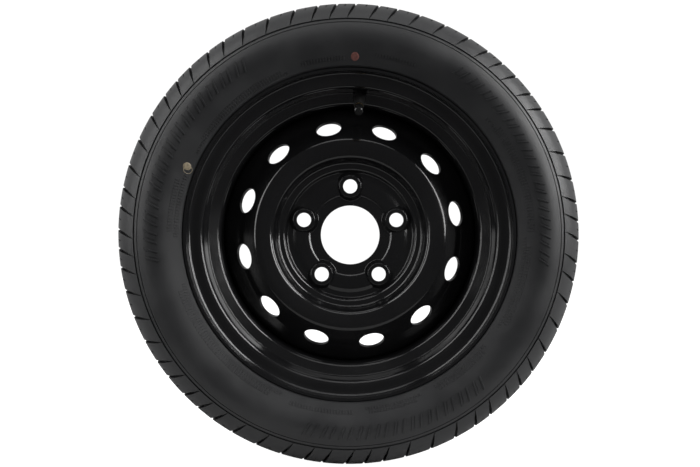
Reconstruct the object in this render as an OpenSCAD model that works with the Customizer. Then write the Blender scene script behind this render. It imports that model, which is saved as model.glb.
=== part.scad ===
// Pressed steel trailer wheel with its tubeless tyre and snap-in valve.
// The axle line is Y, the outboard face looks toward -Y and +Z is up.
// Sections are drawn as [radius, offset]: offset is measured along the axle
// from the middle of the rim and grows toward the outboard face.

/* [Rim] */
// Diameter of the bead seats, where they meet the flanges
seat_d = 329.4; // [326:0.1:333]
// Distance between the two flanges
rim_w = 152.4; // [144:0.1:158]
// Height of a flange above its bead seat
flange_h = 17.3; // [16:0.1:18.5]
// How far a flange reaches past its wall, out to the rolled edge
lip_reach = 12.5; // [11.5:0.1:14]
// Radius of the flange's outward curl, on the tyre's side
curl_r = 9.5; // [8.5:0.1:10.5]
// Sheet thickness of the rolled rim
rim_t = 2.9; // [2.4:0.1:3.4]
// Width of a bead seat
seat_w = 21; // [18:0.5:23]
// Slope of the bead seats, in degrees
seat_slope = 5; // [4:0.5:6]
// Depth of the drop centre below the bead seats
well_depth = 15; // [12:0.5:16]
// Tilt of the outboard slope of the drop centre, which carries the valve
valve_tilt = 30; // [26:1:32]
// Width of the flat floor of the drop centre
well_w = 68; // [58:1:76]

/* [Disc] */
// Distance from the middle of the rim out to the face that meets the hub
inset = 30; // [24:1:36]
// Sheet thickness of the pressed disc
disc_t = 4; // [3.2:0.1:4.4]
// Diameter of the hub bore
bore_d = 68; // [57:0.5:72]
// Pitch circle of the wheel bolts
bolt_circle_d = 112; // [108:0.5:114]
// Number of bolt holes
bolt_n = 5; // [4:1:6]
// Diameter of a bolt hole
bolt_hole_d = 16.4; // [14:0.1:17]
// Height of a bolt boss above the hub land
boss_h = 4.6; // [3:0.1:5.5]
// Radius of the flat top of a bolt boss
boss_top_r = 12.2; // [11:0.1:13]
// Radius of a bolt boss at its foot
boss_foot_r = 17; // [16:0.1:18]
// Height of the stiffening bead that runs between the bolt bosses
ridge_h = 2.6; // [1.5:0.1:3.5]
// Height of the crown of the disc above the hub land
crown_h = 18.8; // [14:0.1:22]
// Radius of the outer edge of the crown
crown_edge_r = 104; // [102:0.5:107]
// Length of the disc's flange inside the rim
disc_flange_w = 20; // [14:1:26]
// Number of hand holes
vent_n = 12; // [10:1:12]
// Length of a hand hole around the wheel
vent_l = 29; // [24:0.5:31]
// Width of a hand hole up the slope of the disc
vent_w = 19.5; // [15:0.5:22]
// Azimuth of the first hand hole, in degrees
vent_start = 11.5; // [0:0.5:30]
// Number of weld beads that join the disc to the rim
weld_n = 10; // [8:1:12]
// Length of a weld bead around the wheel, in degrees
weld_span = 17; // [12:1:22]

/* [Tyre] */
// Outside diameter of the tyre
tyre_d = 526; // [518:1:534]
// Radius of the tread's arc across the tyre
tread_arc_r = 400; // [320:10:520]
// Width of the tread between its shoulders
tread_w = 126; // [120:1:132]
// Radius of a shoulder
shoulder_r = 43; // [40:0.5:46]
// Angle around the shoulder at which the tread ends, in degrees
tread_end = 64; // [60:1:68]
// Rubber and belts under the middle of the tread, with the tread itself
crown_t = 16; // [14:0.5:18]
// Thickness of a sidewall
side_t = 8; // [6:0.5:10]
// Depth of the grooves that run around the tread
groove_depth = 7.5; // [5:0.5:8.5]
// Width of the grooves that run around the tread
groove_w = 8; // [5:0.5:10]
// Width of a cross groove at the tread's edge
cross_w = 5.6; // [3:0.2:6.4]
// Depth of a cross groove in the tread
cross_depth = 6.5; // [4:0.5:8]

/* [Valve] */
// Azimuth of the valve, in degrees up from the right
valve_az = 86.25; // [0:0.25:360]
// Diameter of the hole for the valve
valve_hole_d = 11.5; // [11:0.1:12]
// Length of the valve from the rim to the mouth of its stem
valve_l = 38; // [34:0.1:42]
// Diameter of the stem over its thread
stem_d = 7.7; // [7.2:0.1:8.2]
// Diameter of the bore that the core screws into
core_d = 5.2; // [4.8:0.1:5.6]
// Length of thread that the cap covers
cap_grip = 8.8; // [7:0.1:10]
// Diameter of the cap
cap_d = 9.9; // [9.6:0.1:11]
// Number of flutes on the cap
flute_n = 18; // [12:1:24]
// Travel of the core's pin
pin_travel = 1.2; // [0.8:0.1:1.6]

/* [Hidden] */

$fn = 96;
// Degrees of turn between two points of an arc in a section
arc_step = 9;
// What a cutting shape runs past the face that it opens
past = 1;

// Sheet sections

function unit(v) = v / norm(v);
function left_of(v) = [-v.y, v.x];
function turned(v, deg) = [
    v.x * cos(deg) - v.y * sin(deg),
    v.x * sin(deg) + v.y * cos(deg)
];
function backwards(list) = [for (i = [len(list) - 1 : -1 : 0]) list[i]];
function flipped(list) = [for (p = backwards(list)) [p.x, -p.y]];

// Points of the rounded corner b of the line a-b-c, with bend radius r,
// on the line that lies shift to the left of it
function corner(a, b, c, r, shift) =
    let (
        u = unit(b - a),
        v = unit(c - b),
        side = sign(cross(u, v)),
        turn = acos(max(-1, min(1, u * v))),
        steps = max(1, ceil(turn / arc_step)),
        middle = b - u * r * tan(turn / 2) + left_of(u) * r * side,
        arm = -left_of(u) * side * (r - side * shift)
    )
    [for (k = [0 : steps]) middle + turned(arm, side * turn * k / steps)];

// A line through points, each inner one rounded to its bend radius
function rounded(points, bends, shift = 0) =
    let (last = len(points) - 1)
    [
        points[0] + left_of(unit(points[1] - points[0])) * shift,
        for (i = [1 : last - 1])
            each corner(points[i - 1], points[i], points[i + 1], bends[i - 1], shift),
        points[last] + left_of(unit(points[last] - points[last - 1])) * shift
    ];

// Section of a sheet that lies shift to the left of a line
function sheet(points, bends, shift) = concat(
    rounded(points, bends),
    backwards(rounded(points, bends, shift))
);

// A curve from a to d that leaves toward b and arrives from c
function curve(a, b, c, d, steps) = [
    for (k = [0 : steps])
        let (t = k / steps, s = 1 - t)
        a * s * s * s + 3 * b * s * s * t + 3 * c * s * t * t + d * t * t * t
];

// Turns the work so that offset points to -Y
module on_axle() {
    rotate([90, 0, 0])
        children();
}

module spun(section) {
    rotate_extrude($fn = 180)
        polygon(section);
}

// Rim

flange_a = rim_w / 2;
lip_a = flange_a + lip_reach;
seat_r = seat_d / 2;
lip_r = seat_r + flange_h;
heel_bend = 3.2;
seat_drop = seat_w * tan(seat_slope);
seat_end_r = seat_r - seat_drop;
seat_end_a = flange_a - seat_w;
well_r = seat_r - well_depth;
slope_drop = (seat_end_r - well_r) * tan(valve_tilt);
well_front_a = seat_end_a - slope_drop;
well_back_a = well_front_a - well_w;
seat_bend = 5;
well_bend = 4;
back_bend = 9;
well_face_r = well_r - rim_t;

rim_line = [
    [lip_r, lip_a],
    [lip_r, flange_a],
    [seat_r, flange_a],
    [seat_end_r, seat_end_a],
    [well_r, well_front_a],
    [well_r, well_back_a],
    [seat_end_r, -seat_end_a],
    [seat_r, -flange_a],
    [lip_r, -flange_a],
    [lip_r, -lip_a]
];
rim_bends = [
    curl_r, heel_bend, seat_bend, well_bend,
    back_bend, back_bend, heel_bend, curl_r
];
rim_section = sheet(rim_line, rim_bends, -rim_t);

// Valve frame, on the visible face of the outboard slope

slope_mid_r = (seat_end_r + well_r) / 2;
slope_mid_a = (seat_end_a + well_front_a) / 2;
valve_r = slope_mid_r - rim_t * sin(valve_tilt);
valve_a = slope_mid_a + rim_t * cos(valve_tilt);

module at_valve() {
    on_axle()
        rotate([0, 0, valve_az])
            translate([valve_r, 0, valve_a])
                rotate([0, -valve_tilt, 0])
                    children();
}

module valve_hole() {
    at_valve()
        translate([0, 0, -2 * rim_t])
            cylinder(d = valve_hole_d, h = 3 * rim_t);
}

module rim() {
    color([0.05, 0.05, 0.06])
        difference() {
            on_axle()
                spun(rim_section);
            valve_hole();
        }
}

// The stretch of the rim beside the valve, with the hole
module rim_by_valve() {
    span = 14;
    difference() {
        on_axle()
            rotate([0, 0, valve_az - span / 2])
                rotate_extrude(angle = span)
                    polygon(rim_section);
        valve_hole();
    }
}

// Disc

bore_r = bore_d / 2;
bolt_r = bolt_circle_d / 2;
ridge_in_r = bolt_r - 9.2;
ridge_out_r = bolt_r + 10.2;
step_r = bolt_r + boss_foot_r;
step_h = 4.8;
flange_in_r = well_face_r - disc_t;
slope_tilt = 31;
crown_a = inset + crown_h;
skirt_a = crown_a - (flange_in_r - crown_edge_r) * tan(slope_tilt);
disc_end_a = skirt_a - disc_flange_w;

disc_line = [
    [bore_r, inset],
    [ridge_in_r, inset],
    [ridge_in_r + 3.6, inset + ridge_h],
    [ridge_out_r - 6, inset + ridge_h],
    [ridge_out_r, inset],
    [step_r + 0.4, inset],
    [step_r + 5.4, inset + step_h],
    [step_r + 11.4, inset + step_h + 0.9],
    [step_r + 19, crown_a - 2.2],
    [crown_edge_r, crown_a],
    [flange_in_r, skirt_a],
    [flange_in_r, disc_end_a]
];
disc_bends = [8, 5, 6, 9, 7.5, 4, 12, 10, 12, 7];

vent_r = (crown_edge_r + flange_in_r) / 2 - 1.6;
vent_a = crown_a - (vent_r - crown_edge_r) * tan(slope_tilt);
vent_points = 40;

module hand_hole() {
    linear_extrude(height = 6 * disc_t, center = true)
        polygon([
            for (k = [0 : vent_points - 1])
                let (t = 360 * k / vent_points)
                [vent_w / 2 * cos(t), vent_l / 2 * sin(t)]
        ]);
}

// A raised boss, as [distance from the bolt's line, offset], grown by grow
function boss_section(foot_a, top_a, grow) =
    let (
        run = boss_foot_r - boss_top_r,
        shape = rounded(
            [
                [boss_foot_r + grow + 2, foot_a - 0.3],
                [boss_foot_r + grow, foot_a],
                [boss_foot_r + grow - run, top_a],
                [0, top_a]
            ],
            [2.5, 2.5]
        )
    )
    concat([[0, foot_a - 0.3]], shape);

land_a = inset + disc_t;
boss_a = land_a + boss_h;
pocket_a = boss_a - disc_t;
// The pocket behind a boss is narrower than the boss by the sheet's slant
pocket_grow = -disc_t * 0.75;

module at_bolts() {
    for (i = [0 : bolt_n - 1])
        rotate([0, 0, 90 + 360 * i / bolt_n])
            translate([bolt_r, 0, 0])
                children();
}

module disc() {
    seat_depth = 1.6;
    color([0.05, 0.05, 0.06])
        on_axle()
            difference() {
                union() {
                    spun(sheet(disc_line, disc_bends, disc_t));
                    at_bolts()
                        rotate_extrude()
                            polygon(boss_section(land_a, boss_a, 0));
                }
                at_bolts()
                    translate([0, 0, inset])
                        rotate_extrude()
                            polygon([
                                [0, -past],
                                [boss_foot_r + pocket_grow + past, -past],
                                [boss_top_r + pocket_grow, pocket_a - inset],
                                [0, pocket_a - inset]
                            ]);
                at_bolts()
                    translate([0, 0, inset])
                        cylinder(d = bolt_hole_d, h = disc_t + boss_h + past);
                at_bolts()
                    translate([0, 0, boss_a - seat_depth])
                        cylinder(
                            d1 = bolt_hole_d,
                            d2 = bolt_hole_d + 2 * (seat_depth + past) * tan(30),
                            h = seat_depth + past
                        );
                for (i = [0 : vent_n - 1])
                    rotate([0, 0, vent_start + 360 * i / vent_n])
                        translate([vent_r, 0, vent_a])
                            rotate([0, slope_tilt, 0])
                                hand_hole();
            }
}

module weld_beads() {
    leg = disc_t * 0.95;
    color([0.09, 0.09, 0.1])
        on_axle()
            for (i = [0 : weld_n - 1])
                rotate([0, 0, 360 * (i + 0.5) / weld_n - weld_span / 2])
                    rotate_extrude(angle = weld_span)
                        polygon([
                            [well_face_r, disc_end_a],
                            [well_face_r - leg, disc_end_a],
                            [well_face_r - leg * 0.75, disc_end_a - leg * 0.55],
                            [well_face_r - leg * 0.35, disc_end_a - leg * 0.95],
                            [well_face_r, disc_end_a - leg * 1.15]
                        ]);
}

// Tyre

tyre_r = tyre_d / 2;
tread_half = tread_w / 2;
tread_angle = asin(tread_half / tread_arc_r);
function tread_at(a) = tyre_r - tread_arc_r + sqrt(tread_arc_r * tread_arc_r - a * a);
shoulder_mid = [
    tread_at(tread_half) - shoulder_r * cos(tread_angle),
    tread_half - shoulder_r * sin(tread_angle)
];
function shoulder_at(t, inside = 0) =
    shoulder_mid + (shoulder_r - inside) * [cos(t), sin(t)];

// Round grooves, by the offset of their middles
rib_grooves = [14, 44];
cross_from = rib_grooves[1];
rib_mid = (rib_grooves[0] + rib_grooves[1]) / 2;

wall_top = shoulder_at(tread_end);
wall_foot = [lip_r + 2.4, lip_a + 1.6];
curl_mid = [lip_r - curl_r, flange_a + curl_r];
side_pull = 24;
toe_a = flange_a - seat_w + 3;
toe_r = seat_r - (flange_a - toe_a) * tan(seat_slope);
liner_r = tyre_r - crown_t;
liner_half = tread_half - 12;
wall_wide = shoulder_mid.y + shoulder_r + 1.3;
liner_wide = [(lip_r + tyre_r) / 2 - 12, wall_wide - side_t];
liner_shoulder = [liner_r - 3.8, liner_half];

function groove_edge(a) = [
    [tread_at(a - groove_w / 2), a - groove_w / 2],
    [tread_at(a) - groove_depth, a - groove_w / 2 + 1.2],
    [tread_at(a) - groove_depth, a + groove_w / 2 - 1.2],
    [tread_at(a + groove_w / 2), a + groove_w / 2]
];

// Outside of one half of the tyre, from the middle of the tread to the toe
tyre_outside = concat(
    [[tyre_r, 0]],
    groove_edge(rib_grooves[0]),
    [[tread_at(rib_mid), rib_mid]],
    groove_edge(rib_grooves[1]),
    [for (k = [0 : 7]) shoulder_at(tread_angle + (tread_end - tread_angle) * k / 7)],
    [
        shoulder_at(tread_end + 0.6, 1.4),
        shoulder_at(tread_end + 2.2, 1.4)
    ],
    curve(
        shoulder_at(tread_end + 2.8),
        shoulder_at(tread_end + 2.8) + side_pull * [-sin(tread_end), cos(tread_end)],
        wall_foot + side_pull * [0.86, 0.42],
        wall_foot,
        12
    ),
    [[lip_r + 0.3, lip_a - 2.2]],
    [for (t = [10 : 16 : 90]) curl_mid + (curl_r + 0.1) * [cos(t), -sin(t)]],
    corner([lip_r, flange_a], [seat_r, flange_a], [toe_r, toe_a], heel_bend, 0),
    [[toe_r, toe_a], [toe_r + 1.5, toe_a - 2]]
);

// Inside of one half, from the toe back to the middle
tyre_inside = concat(
    curve(
        [toe_r + 5, toe_a - 1.5],
        [toe_r + 20, toe_a + 12],
        liner_wide - [15, 0],
        liner_wide,
        7
    ),
    curve(
        liner_wide + [2, 0],
        liner_wide + [20, 0],
        liner_shoulder + [-2.5, 24],
        liner_shoulder,
        7
    ),
    [[liner_r, 0]]
);

tyre_section = concat(
    tyre_outside,
    tyre_inside,
    [for (k = [1 : len(tyre_inside) - 1]) flipped(tyre_inside)[k]],
    [for (k = [0 : len(tyre_outside) - 2]) flipped(tyre_outside)[k]]
);

// Pitches of three lengths, in an order that repeats around the tread
pitch_set = [4.7, 4.7, 5.8, 6.7, 6.7, 5.8, 4.7, 5.8];
set_n = 8;
function sum_to(list, n) = n <= 0 ? 0 : list[n - 1] + sum_to(list, n - 1);
set_sum = sum_to(pitch_set, len(pitch_set));
function pitch_az(i) =
    let (within = i % len(pitch_set), turns = floor(i / len(pitch_set)))
    1 + (turns + sum_to(pitch_set, within) / set_sum) * 360 / set_n;
pitch_n = set_n * len(pitch_set);

// A cross groove seen along the axle: a thin tail at the sidewall that widens
// and leans as it runs out to the tread
cross_tail = [wall_top.x - 0.4, 0.5, 0];
cross_mid = [wall_top.x + 9, cross_w * 0.72, -1.1];
cross_out = [tyre_r + 3, cross_w, -3.4];
function cross_side(s) = [
    for (q = [cross_tail, cross_mid, cross_out])
        turned([q[0], s * q[1] / 2], q[2])
];

module cross_groove() {
    polygon(concat(cross_side(-1), backwards(cross_side(1))));
}

// What the cross grooves may remove: everything above their sloping floor
cross_zone = [
    [tread_at(cross_from) - cross_depth, cross_from],
    [tread_at(tread_half) - cross_depth, tread_half],
    shoulder_at(38, cross_depth * 0.72),
    shoulder_at(tread_end, 0.9),
    [wall_top.x - 1, wall_top.y + 12],
    [tyre_r + 5, wall_top.y + 12],
    [tyre_r + 5, cross_from]
];

module cross_grooves() {
    intersection() {
        spun(cross_zone);
        translate([0, 0, cross_from])
            for (i = [0 : pitch_n - 1])
                rotate([0, 0, pitch_az(i)])
                    linear_extrude(height = wall_top.y + 10 - cross_from)
                        cross_groove();
    }
}

module tyre() {
    color([0.16, 0.16, 0.17])
        on_axle()
            difference() {
                spun(tyre_section);
                cross_grooves();
                rotate([180, 0, 0])
                    cross_grooves();
            }
}

// Valve. Heights run from the visible face of the rim's slope, outward.

body_top = valve_l - cap_grip - 3.4;
body_foot_r = 7.6;
body_neck_r = valve_hole_d / 2 - 0.1;
bulb_r = 7.4;
bulb_l = 7.4;
stem_bottom = -rim_t - bulb_l;
core_r = core_d / 2;
stem_r = stem_d / 2;

valve_body_section = concat(
    [
        [stem_r, stem_bottom + 1.2],
        [bulb_r - 2.2, stem_bottom + 1.2],
        [bulb_r - 1, stem_bottom + 2],
        [bulb_r, -rim_t - 1.8],
        [bulb_r, -rim_t + 0.6],
        [body_neck_r, -rim_t + 0.6],
        [body_neck_r, -0.6],
        [body_foot_r, -0.6],
        [body_foot_r, 1.4]
    ],
    curve(
        [body_foot_r - 0.7, 2.2],
        [body_foot_r - 1, 6],
        [stem_r + 2.2, 12],
        [stem_r + 1.6, body_top - 1],
        6
    ),
    [
        [stem_r + 1.2, body_top],
        [stem_r, body_top]
    ]
);

// The rubber is pulled through its hole and shapes itself to the rim
module valve_body() {
    color([0.07, 0.07, 0.07])
        difference() {
            at_valve()
                rotate_extrude()
                    polygon(valve_body_section);
            rim_by_valve();
        }
}

module valve_stem() {
    collar_l = 1.9;
    color([0.72, 0.56, 0.28])
        at_valve()
            difference() {
                union() {
                    translate([0, 0, stem_bottom])
                        cylinder(d = stem_d, h = valve_l - stem_bottom - 0.5);
                    translate([0, 0, valve_l - 0.5])
                        cylinder(d1 = stem_d, d2 = stem_d - 1, h = 0.5);
                    translate([0, 0, body_top])
                        cylinder(d = stem_d + 2.1, h = collar_l);
                    translate([0, 0, stem_bottom])
                        cylinder(d = stem_d + 1.6, h = 1.2);
                }
                translate([0, 0, stem_bottom - past])
                    cylinder(d = core_d - 1.4, h = valve_l);
                translate([0, 0, core_low])
                    cylinder(d = core_d, h = valve_l - core_low + past);
            }
}

// Core: a plug with a barrel, a ring gasket round it, and a sprung pin
// whose cup closes the barrel's end from below

plug_top = valve_l - 2;
plug_l = 2.6;
barrel_r = 1.95;
barrel_in_r = 1.3;
barrel_bottom = plug_top - 15.5;
cup_l = 1.5;
core_low = barrel_bottom - cup_l - pin_travel - 1;
ledge_t = 0.9;
pin_r = 0.55;
pin_hole_r = 0.72;
pin_top = valve_l - 0.4;
stop_r = 1.1;
stop_l = 0.6;
spring_top = plug_top - 3.6;
gasket_l = 2.2;
gasket_bottom = plug_top - plug_l - 4.4;

module core_plug() {
    color([0.75, 0.62, 0.35])
        at_valve()
            difference() {
                union() {
                    translate([0, 0, plug_top - plug_l])
                        cylinder(r = core_r, h = plug_l);
                    translate([0, 0, barrel_bottom])
                        cylinder(r = barrel_r, h = plug_top - plug_l - barrel_bottom);
                }
                translate([0, 0, barrel_bottom - past])
                    cylinder(r = pin_hole_r, h = plug_top - barrel_bottom + 2 * past);
                translate([0, 0, barrel_bottom + ledge_t])
                    cylinder(r = barrel_in_r, h = spring_top + stop_l + 0.2 - barrel_bottom - ledge_t);
            }
}

module core_gasket() {
    color([0.75, 0.15, 0.1])
        at_valve()
            translate([0, 0, gasket_bottom])
                difference() {
                    cylinder(r = core_r, h = gasket_l);
                    translate([0, 0, -past])
                        cylinder(r = barrel_r, h = gasket_l + 2 * past);
                }
}

module core_pin() {
    color([0.78, 0.66, 0.4])
        at_valve()
            union() {
                translate([0, 0, barrel_bottom - cup_l])
                    cylinder(r = pin_r, h = pin_top - barrel_bottom + cup_l);
                translate([0, 0, spring_top])
                    cylinder(r = stop_r, h = stop_l);
            }
}

module core_cup() {
    color([0.1, 0.1, 0.1])
        at_valve()
            translate([0, 0, barrel_bottom - cup_l])
                difference() {
                    cylinder(r = barrel_r - 0.1, h = cup_l);
                    translate([0, 0, -past])
                        cylinder(r = pin_r, h = cup_l + 2 * past);
                }
}

wire_r = 0.14;
coil_r = stop_r - wire_r;
spring_l = spring_top - barrel_bottom - ledge_t;
coil_n = 9;

// The spring's coils, each a plain ring at its place
module core_spring() {
    color([0.7, 0.7, 0.72])
        at_valve()
            for (k = [0 : coil_n - 1])
                translate([
                    0, 0,
                    barrel_bottom + ledge_t + wire_r + (spring_l - 2 * wire_r) * k / (coil_n - 1)
                ])
                    rotate_extrude()
                        translate([coil_r, 0])
                            circle(r = wire_r);
}

// Cap, with the seal that lands on the mouth of the stem

seal_t = 0.9;
// The seal sits this far below the roof of the cap's bore
seal_gap = 0.05;
cap_top_t = 1.3;
thread_gap = 0.12;
cap_foot = valve_l - cap_grip;
cap_roof = valve_l + seal_t + seal_gap;
cap_top = cap_roof + cap_top_t;

module cap_seal() {
    color([0.12, 0.12, 0.12])
        at_valve()
            translate([0, 0, valve_l])
                cylinder(d = stem_d - 0.4, h = seal_t);
}

module valve_cap() {
    flute_r = 0.5;
    color([0.06, 0.06, 0.06])
        at_valve()
            difference() {
                union() {
                    translate([0, 0, cap_foot])
                        cylinder(d = cap_d, h = cap_top - cap_foot - 1);
                    translate([0, 0, cap_top - 1])
                        cylinder(d1 = cap_d, d2 = cap_d - 2.2, h = 1);
                }
                translate([0, 0, cap_foot - past])
                    cylinder(
                        d = stem_d + 2 * thread_gap,
                        h = cap_roof - cap_foot + past
                    );
                for (i = [0 : flute_n - 1])
                    rotate([0, 0, 360 * i / flute_n])
                        translate([cap_d / 2 + 0.1, 0, cap_foot + 2])
                            cylinder(r = flute_r, h = cap_top - cap_foot, $fn = 24);
            }
}

tyre();
rim();
disc();
weld_beads();
valve_body();
valve_stem();
core_plug();
core_gasket();
core_pin();
core_cup();
core_spring();
cap_seal();
valve_cap();
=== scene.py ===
# %% [markdown]
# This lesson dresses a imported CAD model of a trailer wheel: a pressed steel wheel, its tyre and its valve.
# The CAD pieces come in at their real size and place, and stay there.
# Most of them only need finishes, so the cells below give them smooth shading and procedural materials.
# The tyre is moulded again here with finer tread and relief than a solid model can carry.

import math

import bmesh
import bpy
import numpy as np
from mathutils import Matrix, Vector


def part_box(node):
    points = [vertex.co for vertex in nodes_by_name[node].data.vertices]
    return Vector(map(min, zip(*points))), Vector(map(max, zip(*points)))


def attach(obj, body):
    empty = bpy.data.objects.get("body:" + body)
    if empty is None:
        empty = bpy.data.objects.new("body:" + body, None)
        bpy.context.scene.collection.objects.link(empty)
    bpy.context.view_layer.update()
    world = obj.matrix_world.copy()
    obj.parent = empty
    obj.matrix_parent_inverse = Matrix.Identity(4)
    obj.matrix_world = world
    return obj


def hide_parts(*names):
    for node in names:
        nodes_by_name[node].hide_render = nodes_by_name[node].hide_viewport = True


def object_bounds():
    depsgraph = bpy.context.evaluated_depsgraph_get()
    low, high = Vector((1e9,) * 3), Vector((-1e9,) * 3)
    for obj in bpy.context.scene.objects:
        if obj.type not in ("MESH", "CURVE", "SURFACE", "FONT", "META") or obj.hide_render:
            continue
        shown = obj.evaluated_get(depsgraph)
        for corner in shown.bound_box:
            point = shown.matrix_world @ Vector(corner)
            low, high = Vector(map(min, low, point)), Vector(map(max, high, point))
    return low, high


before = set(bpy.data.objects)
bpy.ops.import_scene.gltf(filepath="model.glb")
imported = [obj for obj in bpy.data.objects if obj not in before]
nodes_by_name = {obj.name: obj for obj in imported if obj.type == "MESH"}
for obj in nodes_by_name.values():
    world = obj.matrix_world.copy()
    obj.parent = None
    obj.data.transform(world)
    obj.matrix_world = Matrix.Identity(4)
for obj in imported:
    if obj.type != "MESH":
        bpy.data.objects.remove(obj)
cad_low, cad_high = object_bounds()
MM = 0.001  # Blender's unit is the metre, and all of the sizes below are in millimetres
print("CAD box, mm:", [round((h - l) / MM, 1) for l, h in zip(cad_low, cad_high)])

# %% [markdown]
# The wheel was photographed from straight in front of its outboard face, from less than a metre away.
# A camera that close sees more of the near surfaces than of the deep ones, and that is part of the look.
# So the distance is set first, and the lens then follows from the size of the wheel in the picture.

# %% The camera
lip_a = -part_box("rim")[0].y / MM
camera_back = 900
camera_side, camera_up = -8, 2
aim_side, aim_up = 19.9, -14.8
camera_place = Vector((camera_side, -(lip_a + camera_back), camera_up)) * MM
aim_place = Vector((aim_side, -lip_a, aim_up)) * MM

camera_data = bpy.data.cameras.new("photo camera")
sensor_width, lens = 36, 42.404
camera_data.sensor_width = sensor_width
camera_data.lens = lens
camera_data.shift_x, camera_data.shift_y = -0.02696, 0.02154
camera = bpy.data.objects.new("photo camera", camera_data)
camera.location = camera_place
camera.rotation_mode = "QUATERNION"
camera.rotation_quaternion = (aim_place - camera_place).to_track_quat("-Z", "Y")
bpy.context.scene.collection.objects.link(camera)
bpy.context.scene.camera = camera
print("camera is", round((aim_place - camera_place).length, 3), "m from the rim's lip")

# %% [markdown]
# Black paint has almost no colour of its own, so what it mirrors makes its look.
# Tall soft boxes stand far out to the sides, almost in the wheel's own plane, and weak ones hang above.
# Only the slanted rings of the wheel mirror them, so each bend shows as a thin bright line on black.
# The studio's wall behind the wheel is white, and the room on the camera's side is dark grey.
# The world does both: it looks at which way a ray travels, and a camera ray always gets the white.

# %% Studio
bpy.context.scene.view_settings.view_transform = "Standard"

world = bpy.data.worlds.new("white studio")
world.use_nodes = True
world_nodes = world.node_tree.nodes
world_links = world.node_tree.links
world_nodes.clear()
ray_kind = world_nodes.new("ShaderNodeLightPath")
dark_room = world_nodes.new("ShaderNodeBackground")
dark_room.inputs["Color"].default_value = (0.1, 0.1, 0.102, 1)
white_sheet = world_nodes.new("ShaderNodeBackground")
white_sheet.inputs["Color"].default_value = (1, 1, 1, 1)
white_sheet.inputs["Strength"].default_value = 1.05
ray_way = world_nodes.new("ShaderNodeTexCoord")
split_way = world_nodes.new("ShaderNodeSeparateXYZ")
backward = world_nodes.new("ShaderNodeMapRange")
backward.inputs["From Min"].default_value = 0.1
backward.inputs["From Max"].default_value = 0.3
backward.inputs["To Max"].default_value = 0.55
seen_white = world_nodes.new("ShaderNodeMath")
seen_white.operation = "MAXIMUM"
either = world_nodes.new("ShaderNodeMixShader")
world_out = world_nodes.new("ShaderNodeOutputWorld")
world_links.new(ray_way.outputs["Generated"], split_way.inputs[0])
world_links.new(split_way.outputs["Y"], backward.inputs["Value"])
world_links.new(backward.outputs["Result"], seen_white.inputs[0])
world_links.new(ray_kind.outputs["Is Camera Ray"], seen_white.inputs[1])
world_links.new(seen_white.outputs[0], either.inputs[0])
world_links.new(dark_room.outputs[0], either.inputs[1])
world_links.new(white_sheet.outputs[0], either.inputs[2])
world_links.new(either.outputs[0], world_out.inputs["Surface"])
bpy.context.scene.world = world
print("world: dark in front, white behind")

# %% [markdown]
# A soft box is a rectangular area light. Its power is given for each square metre of it,
# so that a strip can be made wider or narrower without changing how bright its reflection is.

# %% Soft boxes


def soft_box(name, azimuth, off_axis, width, height, power):
    """A rectangular light that faces the wheel, off_axis degrees from the axle line toward azimuth."""
    turn, tilt = math.radians(azimuth), math.radians(off_axis)
    way = Vector((math.sin(tilt) * math.cos(turn), -math.cos(tilt), math.sin(tilt) * math.sin(turn)))
    data = bpy.data.lights.new(name, "AREA")
    data.shape = "RECTANGLE"
    data.size = width
    data.size_y = height
    data.energy = power
    box = bpy.data.objects.new(name, data)
    box.location = way * box_distance
    box.rotation_mode = "QUATERNION"
    box.rotation_quaternion = (-way).to_track_quat("-Z", "Y")
    box.visible_camera = False
    bpy.context.scene.collection.objects.link(box)


box_distance = 2.0
# [side, azimuth, length in metres, power of a square metre in watts]
soft_box_sites = [("right", 27, 1.7, 39), ("left", 150, 2.4, 15.5), ("top", 88, 1.6, 6.2)]
# Each box is two strips, [degrees off the axle line, width in metres].
# The slope around the hand holes mirrors the gap between them, and so stays dark.
strips = {"far": (78.5, 0.38), "near": (59, 0.28)}
for side, azimuth, height, glow in soft_box_sites:
    for strip, (off_axis, width) in strips.items():
        # The strips above lie flat, and those beside the wheel stand.
        size = (height, width) if side == "top" else (width, height)
        soft_box(f"{side} {strip} strip", azimuth, off_axis, *size, glow * width * height)

# %% [markdown]
# A plain pale floor touches the tyre. The camera sees it almost as white as the background,
# with only a soft shadow where the tyre stands, and the paint mirrors it as a dim glow from below.

# %% Floor
floor_z = cad_low.z
floor_side, floor_front, floor_back = 4.0, -0.25, 4.0
floor_mesh = bpy.data.meshes.new("studio_floor")
floor_mesh.from_pydata(
    [
        (-floor_side, floor_front, floor_z),
        (floor_side, floor_front, floor_z),
        (floor_side, floor_back, floor_z),
        (-floor_side, floor_back, floor_z),
    ],
    [],
    [(0, 1, 2, 3)],
)
floor = bpy.data.objects.new("studio_floor", floor_mesh)
bpy.context.scene.collection.objects.link(floor)

floor_paper = bpy.data.materials.new("pale paper")
floor_paper.use_nodes = True
paper_nodes = floor_paper.node_tree.nodes
paper = paper_nodes["Principled BSDF"]
paper.inputs["Base Color"].default_value = (0.55, 0.55, 0.55, 1)
paper.inputs["Roughness"].default_value = 0.9
paper.inputs["Emission Color"].default_value = (1, 1, 1, 1)
paper_ray = paper_nodes.new("ShaderNodeLightPath")
floor_paper.node_tree.links.new(paper_ray.outputs["Is Camera Ray"], paper.inputs["Emission Strength"])
floor_mesh.materials.append(floor_paper)
print("floor is at", round(floor_z / MM, 1), "mm")

# %% [markdown]
# Node groups hold the effects that more than one finish uses.
# "moulded grain" gives a fine random height, in the size of the tool marks that a mould or a spray leaves.
# "handling dust" gives a patchy mask for the film that settles on stored goods.
# Both read object coordinates, so the pattern stays on the piece when it moves.

# %% Shared effects


def group_socket(tree, name, way, value=0.0):
    socket = tree.interface.new_socket(name, in_out=way, socket_type="NodeSocketFloat")
    socket.default_value = value


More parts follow.
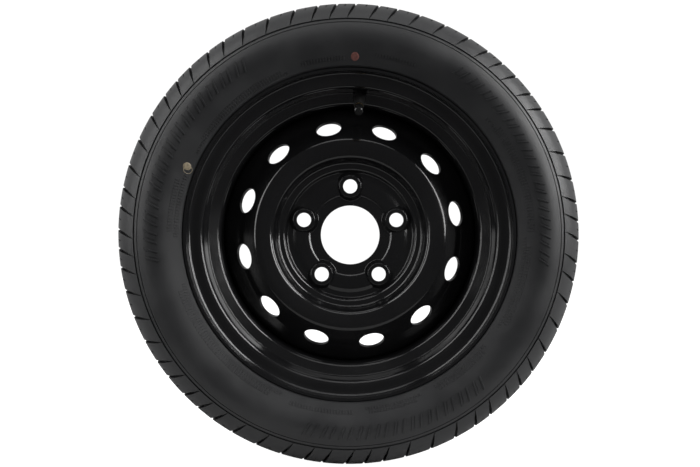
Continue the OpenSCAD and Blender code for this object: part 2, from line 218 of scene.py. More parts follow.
def add_noise(tree, detail, roughness):
    noise = tree.nodes.new("ShaderNodeTexNoise")
    noise.inputs["Detail"].default_value = detail
    noise.inputs["Roughness"].default_value = roughness
    return noise


def per_metre(tree, size_socket):
    """Turns a size in millimetres into a texture scale."""
    divide = tree.nodes.new("ShaderNodeMath")
    divide.operation = "DIVIDE"
    divide.inputs[0].default_value = 1 / MM
    tree.links.new(size_socket, divide.inputs[1])
    return divide.outputs[0]


def build_moulded_grain():
    tree = bpy.data.node_groups.new("moulded grain", "ShaderNodeTree")
    group_socket(tree, "Grain mm", "INPUT", value=0.6)
    group_socket(tree, "Wave mm", "INPUT", value=6.0)
    group_socket(tree, "Wave share", "INPUT", value=0.5)
    group_socket(tree, "Height", "OUTPUT")
    inside = tree.nodes.new("NodeGroupInput")
    outside = tree.nodes.new("NodeGroupOutput")
    place = tree.nodes.new("ShaderNodeTexCoord")
    fine = add_noise(tree, 3, 0.6)
    wide = add_noise(tree, 1, 0.5)
    mix = tree.nodes.new("ShaderNodeMix")
    for noise, size in ((fine, "Grain mm"), (wide, "Wave mm")):
        tree.links.new(place.outputs["Object"], noise.inputs["Vector"])
        tree.links.new(per_metre(tree, inside.outputs[size]), noise.inputs["Scale"])
    tree.links.new(inside.outputs["Wave share"], mix.inputs["Factor"])
    tree.links.new(fine.outputs["Fac"], mix.inputs["A"])
    tree.links.new(wide.outputs["Fac"], mix.inputs["B"])
    tree.links.new(mix.outputs["Result"], outside.inputs["Height"])
    return tree


def build_handling_dust():
    tree = bpy.data.node_groups.new("handling dust", "ShaderNodeTree")
    group_socket(tree, "Patch mm", "INPUT", value=60.0)
    group_socket(tree, "Amount", "INPUT", value=0.5)
    group_socket(tree, "Mask", "OUTPUT")
    inside = tree.nodes.new("NodeGroupInput")
    outside = tree.nodes.new("NodeGroupOutput")
    place = tree.nodes.new("ShaderNodeTexCoord")
    patches = add_noise(tree, 4, 0.55)
    patch_mask = tree.nodes.new("ShaderNodeMapRange")
    patch_mask.inputs["From Min"].default_value = 0.42
    patch_mask.inputs["From Max"].default_value = 0.72
    scaled = tree.nodes.new("ShaderNodeMath")
    scaled.operation = "MULTIPLY"
    tree.links.new(place.outputs["Object"], patches.inputs["Vector"])
    tree.links.new(per_metre(tree, inside.outputs["Patch mm"]), patches.inputs["Scale"])
    tree.links.new(patches.outputs["Fac"], patch_mask.inputs["Value"])
    tree.links.new(patch_mask.outputs["Result"], scaled.inputs[0])
    tree.links.new(inside.outputs["Amount"], scaled.inputs[1])
    tree.links.new(scaled.outputs[0], outside.inputs["Mask"])
    return tree


moulded_grain = build_moulded_grain()
handling_dust = build_handling_dust()
print("groups:", moulded_grain.name, "and", handling_dust.name)

# %% [markdown]
# Each finish starts the same way: a Principled shader, then groups that vary its colour and roughness,
# then a Bump node for what is too fine to model. The helpers below do the wiring,
# so that each material's own cell can be read as a list of its values.

# %% Helpers for finishes


def new_finish(name):
    finish = bpy.data.materials.new(name)
    finish.use_nodes = True
    return finish, finish.node_tree, finish.node_tree.nodes["Principled BSDF"]


def place_group(tree, group, **values):
    node = tree.nodes.new("ShaderNodeGroup")
    node.node_tree = group
    for name, value in values.items():
        node.inputs[name.replace("_", " ")].default_value = value
    return node


def blend_colour(tree, mask, clean, covered):
    mix = tree.nodes.new("ShaderNodeMix")
    mix.data_type = "RGBA"
    mix.inputs["A"].default_value = (*clean, 1)
    mix.inputs["B"].default_value = (*covered, 1)
    tree.links.new(mask, mix.inputs["Factor"])
    return mix.outputs["Result"]


def blend_value(tree, mask, clean, covered):
    span = tree.nodes.new("ShaderNodeMapRange")
    span.inputs["To Min"].default_value = clean
    span.inputs["To Max"].default_value = covered
    tree.links.new(mask, span.inputs["Value"])
    return span.outputs["Result"]


def add_bump(tree, shader, height, depth_mm):
    bump = tree.nodes.new("ShaderNodeBump")
    bump.inputs["Distance"].default_value = depth_mm * MM
    tree.links.new(height, bump.inputs["Height"])
    tree.links.new(bump.outputs["Normal"], shader.inputs["Normal"])


print("helpers:", new_finish.__name__, place_group.__name__, blend_colour.__name__, add_bump.__name__)

# %% [markdown]
# The steel is dipped in gloss black. Such paint is smooth but not flat: it has a faint orange peel
# a few millimetres across, which softens the edge of each reflection, and dust dulls it in patches.

# %% Gloss black paint


def gloss_paint():
    finish, tree, shader = new_finish("gloss black paint")
    dust = place_group(tree, handling_dust, Patch_mm=70, Amount=1.0)
    peel = place_group(tree, moulded_grain, Grain_mm=3.5, Wave_mm=14, Wave_share=0.5)
    colour = blend_colour(tree, dust.outputs["Mask"], (0.0075, 0.0075, 0.008), (0.0105, 0.0105, 0.011))
    tree.links.new(colour, shader.inputs["Base Color"])
    tree.links.new(blend_value(tree, dust.outputs["Mask"], 0.1, 0.2), shader.inputs["Roughness"])
    add_bump(tree, shader, peel.outputs["Height"], 0.05)
    return finish


black_paint = gloss_paint()
print("paint:", black_paint.name)

# %% [markdown]
# Tyre rubber is dull and slightly grey, because the mould leaves a fine grain and wax blooms to the surface.
# The bloom is patchy, so the sidewall is a little lighter and rougher in places.

# %% Tyre rubber


def moulded_rubber(name, clean, bloomed, shine, grain_mm, depth_mm):
    finish, tree, shader = new_finish(name)
    dust = place_group(tree, handling_dust, Patch_mm=45, Amount=1.0)
    grain = place_group(tree, moulded_grain, Grain_mm=grain_mm, Wave_mm=9, Wave_share=0.35)
    colour = blend_colour(tree, dust.outputs["Mask"], clean, bloomed)
    tree.links.new(colour, shader.inputs["Base Color"])
    tree.links.new(blend_value(tree, dust.outputs["Mask"], *shine), shader.inputs["Roughness"])
    add_bump(tree, shader, grain.outputs["Height"], depth_mm)
    return finish


tyre_rubber = moulded_rubber(
    "tyre rubber", (0.019, 0.0193, 0.0204), (0.027, 0.0274, 0.0285), (0.42, 0.54), 0.7, 0.09
)
valve_rubber = moulded_rubber(
    "valve rubber", (0.012, 0.012, 0.012), (0.02, 0.02, 0.02), (0.38, 0.5), 0.3, 0.03
)
seal_rubber = moulded_rubber(
    "seal rubber", (0.02, 0.02, 0.02), (0.03, 0.03, 0.03), (0.6, 0.7), 0.2, 0.02
)
print("rubbers:", tyre_rubber.name, valve_rubber.name, seal_rubber.name)

# %% [markdown]
# The valve's metal is turned brass, and its spring is drawn steel wire. Both are metals,
# so the base colour is the colour of their reflection. The cap is black plastic with a moulded gloss.

# %% Brass, steel wire and cap plastic


def worked_metal(name, clean, dulled, shine):
    finish, tree, shader = new_finish(name)
    dust = place_group(tree, handling_dust, Patch_mm=5, Amount=1.0)
    marks = place_group(tree, moulded_grain, Grain_mm=0.25, Wave_mm=2, Wave_share=0.3)
    tree.links.new(blend_colour(tree, dust.outputs["Mask"], clean, dulled), shader.inputs["Base Color"])
    tree.links.new(blend_value(tree, dust.outputs["Mask"], *shine), shader.inputs["Roughness"])
    shader.inputs["Metallic"].default_value = 1
    add_bump(tree, shader, marks.outputs["Height"], 0.01)
    return finish


def cap_moulding():
    finish, tree, shader = new_finish("cap plastic")
    dust = place_group(tree, handling_dust, Patch_mm=6, Amount=1.0)
    grain = place_group(tree, moulded_grain, Grain_mm=0.5, Wave_mm=4, Wave_share=0.6)
    colour = blend_colour(tree, dust.outputs["Mask"], (0.009, 0.009, 0.009), (0.016, 0.016, 0.016))
    tree.links.new(colour, shader.inputs["Base Color"])
    tree.links.new(blend_value(tree, dust.outputs["Mask"], 0.13, 0.26), shader.inputs["Roughness"])
    add_bump(tree, shader, grain.outputs["Height"], 0.02)
    return finish


brass = worked_metal("turned brass", (0.66, 0.47, 0.2), (0.42, 0.28, 0.12), (0.24, 0.4))
spring_steel = worked_metal("drawn steel wire", (0.62, 0.62, 0.64), (0.5, 0.5, 0.52), (0.25, 0.35))
cap_plastic = cap_moulding()
print("valve finishes:", brass.name, spring_steel.name, cap_plastic.name)

# %% [markdown]
# The CAD pieces arrive as triangles whose corners aren't joined, so a curved face would look faceted.
# Geometry nodes can join the corners, shade everything smooth and keep only the real edges sharp.
# A Weighted Normal modifier then keeps the flats flat and leaves all of the turning to the bends.

# %% Smooth shading for CAD pieces
join_distance = 0.005 * MM
edge_angle = math.radians(24)


def build_crisp_edges():
    tree = bpy.data.node_groups.new("crisp edges", "GeometryNodeTree")
    tree.is_modifier = True
    tree.interface.new_socket("Geometry", in_out="INPUT", socket_type="NodeSocketGeometry")
    tree.interface.new_socket("Geometry", in_out="OUTPUT", socket_type="NodeSocketGeometry")
    inside = tree.nodes.new("NodeGroupInput")
    outside = tree.nodes.new("NodeGroupOutput")
    join = tree.nodes.new("GeometryNodeMergeByDistance")
    join.inputs["Distance"].default_value = join_distance
    smooth = tree.nodes.new("GeometryNodeSetShadeSmooth")
    angle = tree.nodes.new("GeometryNodeInputMeshEdgeAngle")
    steep = tree.nodes.new("FunctionNodeCompare")
    steep.data_type = "FLOAT"
    steep.operation = "GREATER_THAN"
    steep.inputs["B"].default_value = edge_angle
    sharpen = tree.nodes.new("GeometryNodeSetShadeSmooth")
    sharpen.domain = "EDGE"
    sharpen.inputs["Shade Smooth"].default_value = False
    tree.links.new(inside.outputs["Geometry"], join.inputs["Geometry"])
    tree.links.new(join.outputs["Geometry"], smooth.inputs["Geometry"])
    tree.links.new(angle.outputs["Unsigned Angle"], steep.inputs["A"])
    tree.links.new(smooth.outputs["Geometry"], sharpen.inputs["Geometry"])
    tree.links.new(steep.outputs["Result"], sharpen.inputs["Selection"])
    tree.links.new(sharpen.outputs["Geometry"], outside.inputs["Geometry"])
    return tree


crisp_edges = build_crisp_edges()


def dress(node_name, finish):
    """Gives a CAD piece its finish and smooth shading. Its mesh stays as packed."""
    piece = nodes_by_name[node_name]
    piece.data.materials.clear()
    piece.data.materials.append(finish)
    if "custom_normal" in piece.data.attributes:
        piece.data.attributes.remove(piece.data.attributes["custom_normal"])
    smoothing = piece.modifiers.new("crisp edges", "NODES")
    smoothing.node_group = crisp_edges
    weighting = piece.modifiers.new("flat flats", "WEIGHTED_NORMAL")
    weighting.keep_sharp = True
    weighting.weight = 100


finish_of = {
    "rim": black_paint,
    "disc": black_paint,
    "weld_beads": black_paint,
    "valve_body": valve_rubber,
    "valve_stem": brass,
    "core_plug": brass,
    "core_gasket": seal_rubber,
    "core_pin": brass,
    "core_cup": seal_rubber,
    "core_spring": spring_steel,
    "cap_seal": seal_rubber,
    "valve_cap": cap_plastic,
}
for node_name, finish in finish_of.items():
    dress(node_name, finish)
print("dressed:", ", ".join(finish_of))

# %% [markdown]
# The tyre is made as a mould maker draws it: a section with a tread, shoulders, sidewalls and beads.
# The section is a list of points [radius, offset], in millimetres, with the offset along the axle.
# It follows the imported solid's own section, so the new mesh sits in the same place on the rim.

# %% Section of the tyre
tyre_r = round(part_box("tyre")[1].z / MM)
lip_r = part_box("rim")[1].z / MM
tread_arc_r = 400
tread_half = 63
shoulder_r = 43
# These two are degrees around the shoulder's arc: where it starts, and where the tread ends.
tread_end = 64
tread_angle = math.degrees(math.asin(tread_half / tread_arc_r))


def tread_at(a):
    return tyre_r - tread_arc_r + math.sqrt(tread_arc_r**2 - a**2)


def on_arc(middle, radius, degrees):
    turn = math.radians(degrees)
    return np.array(middle) + radius * np.array([math.cos(turn), math.sin(turn)])


def cubic(a, b, c, d, steps):
    t = np.linspace(0, 1, steps + 1)[:, None]
    s = 1 - t
    a, b, c, d = (np.array(p, float) for p in (a, b, c, d))
    return a * s**3 + 3 * b * s**2 * t + 3 * c * s * t**2 + d * t**3


shoulder_mid = np.array([tread_at(tread_half), tread_half]) - (on_arc((0, 0), shoulder_r, tread_angle))


def shoulder_at(degrees, inside=0):
    return on_arc(shoulder_mid, shoulder_r - inside, degrees)


print("shoulder's arc is centred on", shoulder_mid.round(1))

# %% [markdown]
# The sidewall is one cubic curve from the shoulder to the rim's lip. wall_at() finds a place on it from
# its radius, and can lift that place off the surface, which the ribs and the paint dots need later.

# %% Line of the sidewall
wall_foot = np.array([lip_r + 2.4, lip_a + 1.6])
foot_way = np.array([0.86, 0.42])
side_pull = 24
wall_from = 66.8
wall_steps = 400
wall_start = shoulder_at(wall_from)
wall_line = cubic(
    wall_start,
    wall_start + side_pull * (on_arc((0, 0), 1, tread_end + 90)),
    wall_foot + side_pull * foot_way,
    wall_foot,
    wall_steps,
)
wall_way = np.gradient(wall_line, axis=0)
wall_normal = np.stack([wall_way[:, 1], -wall_way[:, 0]], axis=1)
wall_normal /= np.linalg.norm(wall_normal, axis=1)[:, None]


def wall_at(radius, proud=0.0):
    """Point of the sidewall at a radius, lifted proud millimetres off the surface."""
    falling = -wall_line[:, 0]
    point = [np.interp(-np.asarray(radius), falling, wall_line[:, k]) for k in (0, 1)]
    lift = [np.interp(-np.asarray(radius), falling, wall_normal[:, k]) * proud for k in (0, 1)]
    return np.stack([point[0] + lift[0], point[1] + lift[1]], axis=-1)


print("sidewall from", wall_line[0].round(1), "to", wall_line[-1].round(1))
print("widest at", wall_line[:, 1].max().round(1))

# %% [markdown]
# Along the tread the section changes: cross grooves cut the shoulders into blocks, and a short thin cut,
# a sipe, divides each block. So each row of the mesh has three depths: the block's face, the floor of
# a cross groove and the floor of a sipe. Rows without grooves have the same point three times.

# %% Rows of the tread
groove_depth, groove_half = 7.5, 4
groove_draft = 1.2
inner_groove_a, outer_groove_a = 14, 44
crown_row_a, plain_row_a, sipe_rows_a, block_row_a = 5, 21, (24, 32), 55
cross_depth = 6.5
sipe_depth = 3.6
# Degrees around the shoulder's arc: a bend in the cross groove's floor, and the end of a sipe
cross_bend, sipe_stop, sipe_fade = 38, 34, 8


def level(point):
    return [np.array(point, float)] * 3


def tread_row(a, groove=0.0, sipe=0.0):
    r = tread_at(a)
    return [np.array([r, a]), np.array([r - groove, a]), np.array([r - sipe, a])]


def round_groove(a, mouth_depth=0.0):
    """The four rows of a groove that runs around the tread."""
    floor_r = tread_at(a) - groove_depth
    return [
        tread_row(a - groove_half),
        level([floor_r, a - groove_half + groove_draft]),
        level([floor_r, a + groove_half - groove_draft]),
        tread_row(a + groove_half, mouth_depth, sipe_depth if mouth_depth else 0),
    ]


cross_floor = [
    np.array([tread_at(tread_half) - cross_depth, tread_half]),
    shoulder_at(cross_bend, cross_depth * 0.72),
    shoulder_at(tread_end, 0.9),
]


def shoulder_row(degrees):
    """A row on the shoulder. The cross grooves get shallower toward the sidewall."""
    share = (degrees - tread_angle) / (cross_bend - tread_angle)
    if share <= 1:
        floor_point = cross_floor[0] + (cross_floor[1] - cross_floor[0]) * share
    else:
        share = (degrees - cross_bend) / (tread_end - cross_bend)
        floor_point = cross_floor[1] + (cross_floor[2] - cross_floor[1]) * share
    cut = sipe_depth * min(1, max(0, (sipe_stop - degrees) / sipe_fade))
    return [shoulder_at(degrees), floor_point, shoulder_at(degrees, cut)]


def tread_rows():
    rows = [tread_row(0), tread_row(crown_row_a)]
    rows += round_groove(inner_groove_a)
    rows += [tread_row(plain_row_a)] + [tread_row(a, 0, sipe_depth) for a in sipe_rows_a]
    rows += round_groove(outer_groove_a, cross_depth)
    rows[-4][2] = rows[-4][0] - [sipe_depth, 0]
    rows += [tread_row(block_row_a, cross_depth, sipe_depth)]
    turns = np.concatenate([np.linspace(tread_angle, sipe_stop, 6), np.linspace(42, tread_end, 4)])
    rows += [shoulder_row(t) for t in turns]
    return rows


print("tread rows:", len(tread_rows()))

# %% [markdown]
# Below the tread a thin groove marks its edge, and a fine line runs around the top of the sidewall.
# The bead then curls around the rim's flange to its seat, and the liner closes the section inside.

# %% Rows of the side and the liner
edge_groove, edge_depth = (0.6, 2.2), 1.4
line_r, line_half, line_lip, line_depth = 229.5, 0.3, 0.55, 0.6


def wall_rows(radii):
    return [level(p) for p in wall_at(np.array(radii, float))]


def side_rows(fine):
    """The edge groove, the sidewall and the bead, to its toe."""
    rows = [level(shoulder_at(tread_end + degrees, edge_depth)) for degrees in edge_groove]
    rows += wall_rows([wall_start[0], line_r + 1.6, line_r + line_lip])
    rows += [level(wall_at(line_r + side * line_half, -line_depth)) for side in (1, -1)]
    rows += wall_rows([line_r - line_lip, line_r - 2.4])
    rows += wall_rows(np.linspace(line_r - 5, wall_foot[0] + 1.2, 17 if fine else 10))
    rows += [level(wall_foot), level([lip_r + 0.3, lip_a - 2.2])]
    rows += [level(on_arc(curl_mid, curl_r + 0.1, -t)) for t in range(10, 91, 16)]
    rows += [level(on_arc(heel_mid, heel_r, t)) for t in (90, 120, 150, 175)]
    rows += [level([toe_r, toe_a]), level([toe_r + 1.5, toe_a - 2])]
    return rows


# The bead follows the rim's flange: its curl, and its height over the seat, which leans by seat_tilt.
flange_l, flange_h = 12.5, 17.3
flange_a, seat_r = lip_a - flange_l, lip_r - flange_h
curl_r, heel_r = 9.5, 3.2
curl_mid = (lip_r - curl_r, flange_a + curl_r)
heel_mid = (seat_r + heel_r, flange_a - heel_r)
bead_w, seat_tilt = 18, math.radians(5)
toe_a, toe_r = flange_a - bead_w, seat_r - bead_w * math.tan(seat_tilt)
tread_t = 16
liner_r = tyre_r - tread_t
liner_wide = np.array([(lip_r + tyre_r) / 2 - 12, shoulder_mid[1] + shoulder_r + 1.3 - 8])
liner_shoulder = np.array([liner_r - 3.8, tread_half - 12])


def liner_rows():
    lower = cubic(
        (toe_r + 5, toe_a - 1.5), (toe_r + 20, toe_a + 12), liner_wide - [15, 0], liner_wide, 5
    )
    upper = cubic(
        liner_wide + [2, 0], liner_wide + [20, 0], liner_shoulder + [-2.5, 24], liner_shoulder, 6
    )
    return [level(p) for p in [*lower, *upper, (liner_r, 0)]]


print("side rows:", len(side_rows(True)), "liner rows:", len(liner_rows()))

# %% [markdown]
# Around the tread the blocks have three lengths in a repeating order. Real tyres do this to break up
# the noise of even blocks. Each pitch gets ten columns: two walls and two floor edges for its cross groove,
# the same for its sipe, and one in the middle of each half block. The sidewall needs only five of them.

# %% Columns of the tyre
pitch_set = [4.7, 4.7, 5.8, 6.7, 6.7, 5.8, 4.7, 5.8]
set_n = 8
pitch_start = 1
pitch_n = set_n * len(pitch_set)
pitch_len = np.array(pitch_set * set_n) * 360 / set_n / sum(pitch_set)
pitch_az = pitch_start + np.concatenate([[0], np.cumsum(pitch_len)])[:-1]
cross_tail_w, cross_w = 0.5, 4.2
sipe_w = 1.1
wall_top_r = shoulder_at(tread_end)[0]
plan_r = [wall_top_r - 0.4, wall_top_r + 9, tyre_r + 3]
plan_w = [cross_tail_w, cross_w * 0.72, cross_w]
plan_lean = [0, -1.1, -3.4]

# One column: [half blocks past the groove, side of the cut, which cut, which depth]
column_kinds = [
    (0, -1, "cross", 0),
    (0, -1, "cross", 1),
    (0, 1, "cross", 1),
    (0, 1, "cross", 0),
    (0.5, 0, None, 0),
    (1, -1, "sipe", 0),
    (1, -1, "sipe", 2),
    (1, 1, "sipe", 2),
    (1, 1, "sipe", 0),
    (1.5, 0, None, 0),
]
coarse_columns = [0, 3, 4, 6, 9]


def row_points(row, side, middle_share):
    """Azimuth, radius and offset of every column of a row.
    middle_share is 0 at the outboard shoulder and 1 at the inboard one."""
    next_az = np.roll(pitch_az, -1)
    next_az[-1] += 360
    mirror_az = 360 - pitch_az[::-1]
    mirror_az = np.roll(mirror_az, 1)
    mirror_az[0] -= 360
    mirror_next = np.append(mirror_az[1:], mirror_az[0] + 360)
    out = np.zeros((pitch_n, len(column_kinds), 3))
    for k, (half, sign, cut, depth) in enumerate(column_kinds):
        r, a = row[depth]
        lean = np.interp(r, plan_r, plan_lean)
        width = {"cross": np.interp(r, plan_r, plan_w), "sipe": sipe_w, None: 0}[cut]
        spread = math.degrees(sign * width / 2 / r)
        front = pitch_az + (next_az - pitch_az) * half / 2 + lean + spread
        back = mirror_az + (mirror_next - mirror_az) * half / 2 - lean + spread
        out[:, k, 0] = front * (1 - middle_share) + back * middle_share
        out[:, k, 1] = r
        out[:, k, 2] = a * side
    return out


def in_space(points):
    """[azimuth, radius, offset] in degrees and millimetres, to metres in the wheel's frame."""
    turn = np.radians(points[..., 0])
    r, a = points[..., 1] * MM, points[..., 2] * MM
    return np.stack([r * np.cos(turn), -a, r * np.sin(turn)], axis=-1)


print("pitches:", pitch_n, "of", sorted(set(pitch_len.round(1).tolist())), "degrees")

# %% [markdown]
# The rows are strung into a closed ring: down the outboard side, back along the liner, up the inboard side.
# Where a fine row meets a coarse one the faces have more corners, so no gap opens between them.

# %% The tyre's mesh
# Between these offsets the outboard pattern turns into the inboard one. Three rows past the tread are fine.
rib_edge, fine_side_n = 40, 3


def ring_of_rows():
    """Every row with its side, its share of the way to the inboard pattern, and whether it is fine."""
    tread, liner = tread_rows(), liner_rows()
    ring = []
    for side, rows in ((1, tread), (-1, tread[:0:-1])):
        shares = [np.clip((rib_edge - side * row[0][1]) / (2 * rib_edge), 0, 1) for row in rows]
        ring += [(row, side, share, True) for row, share in zip(rows, shares)]
        if side == 1:
            ring += [(row, 1, 0, i < fine_side_n) for i, row in enumerate(side_rows(True))]
            ring += [(row, 1, 0, False) for row in liner[:-1]]
            ring += [(liner[-1], 1, 0.5, False)]
            ring += [(row, -1, 1, False) for row in liner[-2::-1]]
            inner_side = side_rows(False)
            last = len(inner_side) - 1
            ring += [(row, -1, 1, last - i < fine_side_n) for i, row in enumerate(inner_side[::-1])]
    return ring


def tyre_mesh():
    points, rows_of_ids = [], []
    count = 0
    for row, side, share, fine in ring_of_rows():
        grid = in_space(row_points(row, side, share))
        kept = list(range(len(column_kinds))) if fine else coarse_columns
        grid = grid[:, kept].reshape(-1, 3)
        points.append(grid)
        rows_of_ids.append((count + np.arange(len(grid)), fine))
        count += len(grid)
    faces = []
    for (upper, fine_u), (lower, fine_l) in zip(rows_of_ids, rows_of_ids[1:] + rows_of_ids[:1]):
        if fine_u == fine_l:
            n = len(upper)
            faces += [(upper[i], upper[(i + 1) % n], lower[(i + 1) % n], lower[i]) for i in range(n)]
            continue
        rich, poor = (upper, lower) if fine_u else (lower, upper)
        per_fine, per_coarse = len(column_kinds), len(coarse_columns)
        for p in range(pitch_n):
            for c in range(per_coarse):
                start = p * per_fine + coarse_columns[c]
                end = p * per_fine + (coarse_columns[c + 1] if c + 1 < per_coarse else per_fine)
                run = [rich[j % len(rich)] for j in range(start, end + 1)]
                near = poor[(p * per_coarse + c) % len(poor)]
                far = poor[(p * per_coarse + c + 1) % len(poor)]
                face = [*run, far, near]
                faces.append(tuple(face if fine_u else face[::-1]))
    mesh = bpy.data.meshes.new("tyre_moulding")
    mesh.from_pydata(np.concatenate(points).tolist(), [], [tuple(int(v) for v in f) for f in faces])
    # Where no groove runs, the columns of a cut share their points. Joining them removes their flat faces.
    joined = bmesh.new()
    joined.from_mesh(mesh)
    bmesh.ops.remove_doubles(joined, verts=joined.verts, dist=join_distance)
    joined.to_mesh(mesh)
    joined.free()
    mesh.validate()
    return mesh


# %% [markdown]
# A piece of the scene rides on one of the imported bodies, so it moves with it, and gets its material.
# The tyre's new mesh takes the place of the imported solid.

# %% Place the tyre


def place_piece(name, mesh, finish, body="wheel"):
    piece = bpy.data.objects.new(name, mesh)
    bpy.context.scene.collection.objects.link(piece)
    mesh.materials.append(finish)
    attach(piece, body)
    return piece


moulding = tyre_mesh()
crease = math.radians(32)
tyre_piece = place_piece("tyre_moulding", moulding, tyre_rubber)
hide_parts("tyre")
moulding.shade_smooth()
moulding.set_sharp_from_angle(angle=crease)
triangle_n = sum(len(p.vertices) - 2 for p in moulding.polygons)
print("tyre:", len(moulding.vertices), "points,", triangle_n, "triangles")

# %% [markdown]
# A real tyre carries raised words here. This one has plain ribs in their places instead: pairs of long
# slanted ribs where large words would stand, and short fine ribs where small print would run.
# A rib is a strip four points wide, whose edges sink into the sidewall and whose middle stands out of it.

# %% Ribs on the sidewall
rib_up, rib_sunk, rib_slope = 0.8, -0.3, 0.1
slanted_n = 5


def add_rib(points, faces, rows, up=rib_up, slope=rib_slope):
    """A raised rib. Each row is (radius, azimuth of one edge, azimuth of the other), from the outside in."""
    first = len(points)
    for radius, az_low, az_high in rows:
        stations = ((az_low, rib_sunk), (az_low + slope, up), (az_high - slope, up), (az_high, rib_sunk))
        for az, lift in stations:
            r, a = wall_at(radius, lift)
            points.append((az, r, a))
    for k in range(len(rows) - 1):
        for j in range(3):
            v = first + 4 * k + j
            faces.append((v, v + 1, v + 5, v + 4))
    last = first + 4 * (len(rows) - 1)
    faces.append((first + 3, first + 2, first + 1, first))
    faces.append((last, last + 1, last + 2, last + 3))


def slanted(az, width, r_high, r_low, lean):
    """Rows of a rib that leans by lean degrees on its way in."""
    radii, edges = np.linspace(r_high, r_low, slanted_n), az + np.linspace(0, lean, slanted_n)
    return [(r, edge, edge + width) for r, edge in zip(radii, edges)]


print("a large rib has", slanted_n, "rows")

# %% [markdown]
# The places follow the real tyre's: three wide ones in the middle of the sidewall, and many low ones near
# the rim. Their ribs are all alike, so they can't be read.

# %% Place the ribs
# [first azimuth, last azimuth, inner radius, outer radius]
large_places = [(-9, 57, 206, 217), (121, 191, 207, 222), (256, 315, 207, 222)]
small_places = [
    (1, 41, 193, 195.8),
    (1, 36, 197.2, 200),
    (69, 82, 194.5, 197.5),
    (92, 106, 189.5, 193.5),
    (111, 152, 186.3, 189),
    (113, 147, 190, 192),
    (160, 181, 186.3, 190.5),
    (162, 179, 192.5, 197),
    (196, 246, 186.5, 189.8),
    (198, 243, 191.2, 195),
    (250, 271, 191, 195),
    (275, 294, 188.7, 191.2),
    (276, 292, 192.4, 195),
    (299, 321, 188, 191),
    (300, 319, 192.4, 195),
    (328, 359, 188.7, 192),
    (330, 356, 193.4, 196.8),
]
large_pitch, large_w, large_lean = 5.2, 0.55, 1.5
# Between the ribs of a pair is a low pad, shorter at both ends.
pad_az, pad_w, pad_short, pad_lean, pad_up = 1, 1.3, 1.5, 1.2, 0.35
small_pitch, small_w, small_slope, small_up = 0.96, 0.46, 0.09, 0.55
rib_points, rib_faces = [], []
for az_first, az_last, r_low, r_high in large_places:
    for az in np.arange(az_first, az_last - large_pitch / 2, large_pitch):
        for rib_az in (az, az + large_pitch / 2):
            add_rib(rib_points, rib_faces, slanted(rib_az, large_w, r_high, r_low, large_lean))
        pad = slanted(az + pad_az, pad_w, r_high - pad_short, r_low + pad_short, pad_lean)
        add_rib(rib_points, rib_faces, pad, pad_up)
for az_first, az_last, r_low, r_high in small_places:
    for az in np.arange(az_first, az_last, small_pitch):
        rib = slanted(az, small_w, r_high, r_low, 0)[::2]
        add_rib(rib_points, rib_faces, rib, small_up, small_slope)
rib_mesh = bpy.data.meshes.new("sidewall_ribs")
rib_mesh.from_pydata(in_space(np.array(rib_points)).tolist(), [], rib_faces)
rib_mesh.shade_smooth()
rib_crease = math.radians(25)
rib_mesh.set_sharp_from_angle(angle=rib_crease)
place_piece("sidewall_ribs", rib_mesh, tyre_rubber)
print("sidewall ribs:", len(rib_faces), "faces")

# %% [markdown]
# The factory marks a tyre's lightest and highest place with dots of paint. They are thin discs that follow
# the sidewall, with an edge that sinks into it.

# %% Paint dots
dot_up, dot_sunk, dot_corners = 0.08, -0.1, 32
# [name, azimuth, radius of its place, its own radius]
dot_sites = [("red_dot", 88.6, 192.8, 4.5), ("tan_dot", 157.2, 191, 4.3)]


def dot_finish(name, clean, worn):
    finish, tree, shader = new_finish(name)
    wear = place_group(tree, handling_dust, Patch_mm=2.5, Amount=1.0)
    tree.links.new(blend_colour(tree, wear.outputs["Mask"], clean, worn), shader.inputs["Base Color"])
    tree.links.new(blend_value(tree, wear.outputs["Mask"], 0.5, 0.62), shader.inputs["Roughness"])
    grain = place_group(tree, moulded_grain, Grain_mm=0.6, Wave_mm=3, Wave_share=0.4)
    add_bump(tree, shader, grain.outputs["Height"], 0.04)
    return finish


def wall_circle(az, mid_r, radius, lift):
    """Points of a circle that lies on the sidewall, lifted off it."""
    points = []
    for turn in np.arange(dot_corners) * 2 * math.pi / dot_corners:
        r, a = wall_at(mid_r + radius * math.sin(turn), lift)
        points.append((az + math.degrees(radius * math.cos(turn) / mid_r), r, a))
    return points


def circle_faces(first, growing):
    """Faces from a circle of points to the next one, which is larger where growing is true."""
    faces = []
    for k in range(dot_corners):
        here, there = first + k, first + (k + 1) % dot_corners
        face = (here, there, there + dot_corners, here + dot_corners)
        faces.append(face if growing else face[::-1])
    return faces


def place_dot(name, points, faces, finish):
    mesh = bpy.data.meshes.new(name)
    mesh.from_pydata(in_space(np.array(points)).tolist(), [], faces)
    mesh.shade_smooth()
    place_piece(name, mesh, finish)


dot_paints = {
    "red_dot": dot_finish("red marking paint", (0.2, 0.075, 0.062), (0.12, 0.045, 0.038)),
    "tan_dot": dot_finish("tan marking paint", (0.3, 0.25, 0.165), (0.17, 0.14, 0.095)),
}
for name, az, mid_r, dot_r in dot_sites:
    dot_points = [(az, *wall_at(mid_r, dot_up))]
    for share, lift in ((0.5, dot_up), (0.94, dot_up), (1, dot_sunk)):
        dot_points += wall_circle(az, mid_r, share * dot_r, lift)
    dot_faces = [(0, 1 + (k + 1) % dot_corners, 1 + k) for k in range(dot_corners)]
    dot_faces += circle_faces(1, True) + circle_faces(1 + dot_corners, True)
    place_dot(name, dot_points, dot_faces, dot_paints[name])
print("dots:", ", ".join(dot_paints))

# %% [markdown]
# The stamp that made the tan dot has left a thin pale ring beside it.

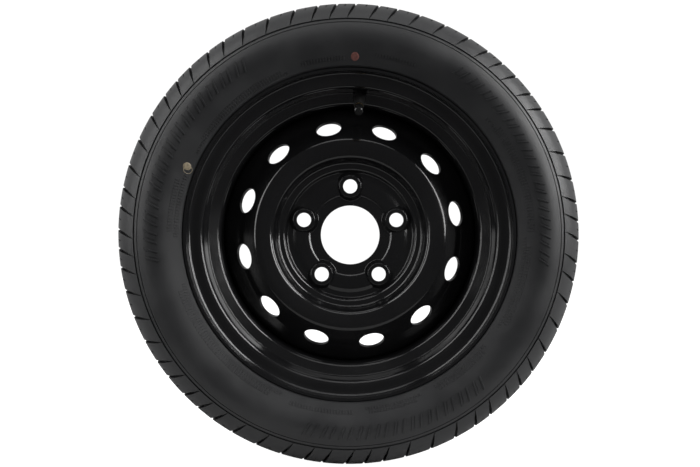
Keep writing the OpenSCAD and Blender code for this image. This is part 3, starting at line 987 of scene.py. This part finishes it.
# %% Ring of the stamp
ring_az, ring_mid_r, ring_r, ring_w = 158.1, 189.2, 4.6, 0.7
ring_edge, ring_up = 0.12, 0.05
ring_points, ring_faces = [], []
for inward, lift in ((0, dot_sunk), (ring_edge, ring_up), (ring_w - ring_edge, ring_up), (ring_w, dot_sunk)):
    ring_points += wall_circle(ring_az, ring_mid_r, ring_r - inward, lift)
for k in range(3):
    ring_faces += circle_faces(k * dot_corners, False)
place_dot("stamp_ring", ring_points, ring_faces, dot_paints["tan_dot"])
print("ring:", 2 * ring_r, "mm wide")

# %% [markdown]
# The valve stem's thread shows once its cap is off. It is a fine ridge that winds up the plain stem,
# low enough to pass through the clearance that the cap's bore has.

# %% Thread on the valve stem
valve_mouth = Vector((8.884, -86.821, 135.541)) * MM
valve_way = Vector((-0.032702, -0.866025, -0.498929))
stem_r, thread_pitch = 3.85, 0.794
thread_up, thread_sunk, thread_half = 0.09, -0.05, 0.36
thread_low, thread_high = -8.4, -0.9
thread_steps, fade_steps = 40, 12
step_n = int((thread_high - thread_low) / thread_pitch * thread_steps)
valve_side = valve_way.cross(Vector((1, 0, 0))).normalized()
valve_across = valve_way.cross(valve_side)
thread_points, thread_faces = [], []
for k in range(step_n + 1):
    turn = 2 * math.pi * k / thread_steps
    spoke = valve_side * math.cos(turn) + valve_across * math.sin(turn)
    crest = thread_up * min(1, k / fade_steps, (step_n - k) / fade_steps)
    for along, up in ((-thread_half, thread_sunk), (0, crest), (thread_half, thread_sunk)):
        height = thread_low + thread_pitch * k / thread_steps + along
        thread_points.append(valve_mouth + (valve_way * height + spoke * (stem_r + up)) * MM)
for k in range(step_n):
    v = 3 * k
    thread_faces += [(v, v + 3, v + 4, v + 1), (v + 1, v + 4, v + 5, v + 2)]
thread_mesh = bpy.data.meshes.new("stem_thread")
thread_mesh.from_pydata([tuple(p) for p in thread_points], [], thread_faces)
thread_mesh.shade_smooth()
place_piece("stem_thread", thread_mesh, brass)
print("thread turns:", round(step_n / thread_steps, 1))
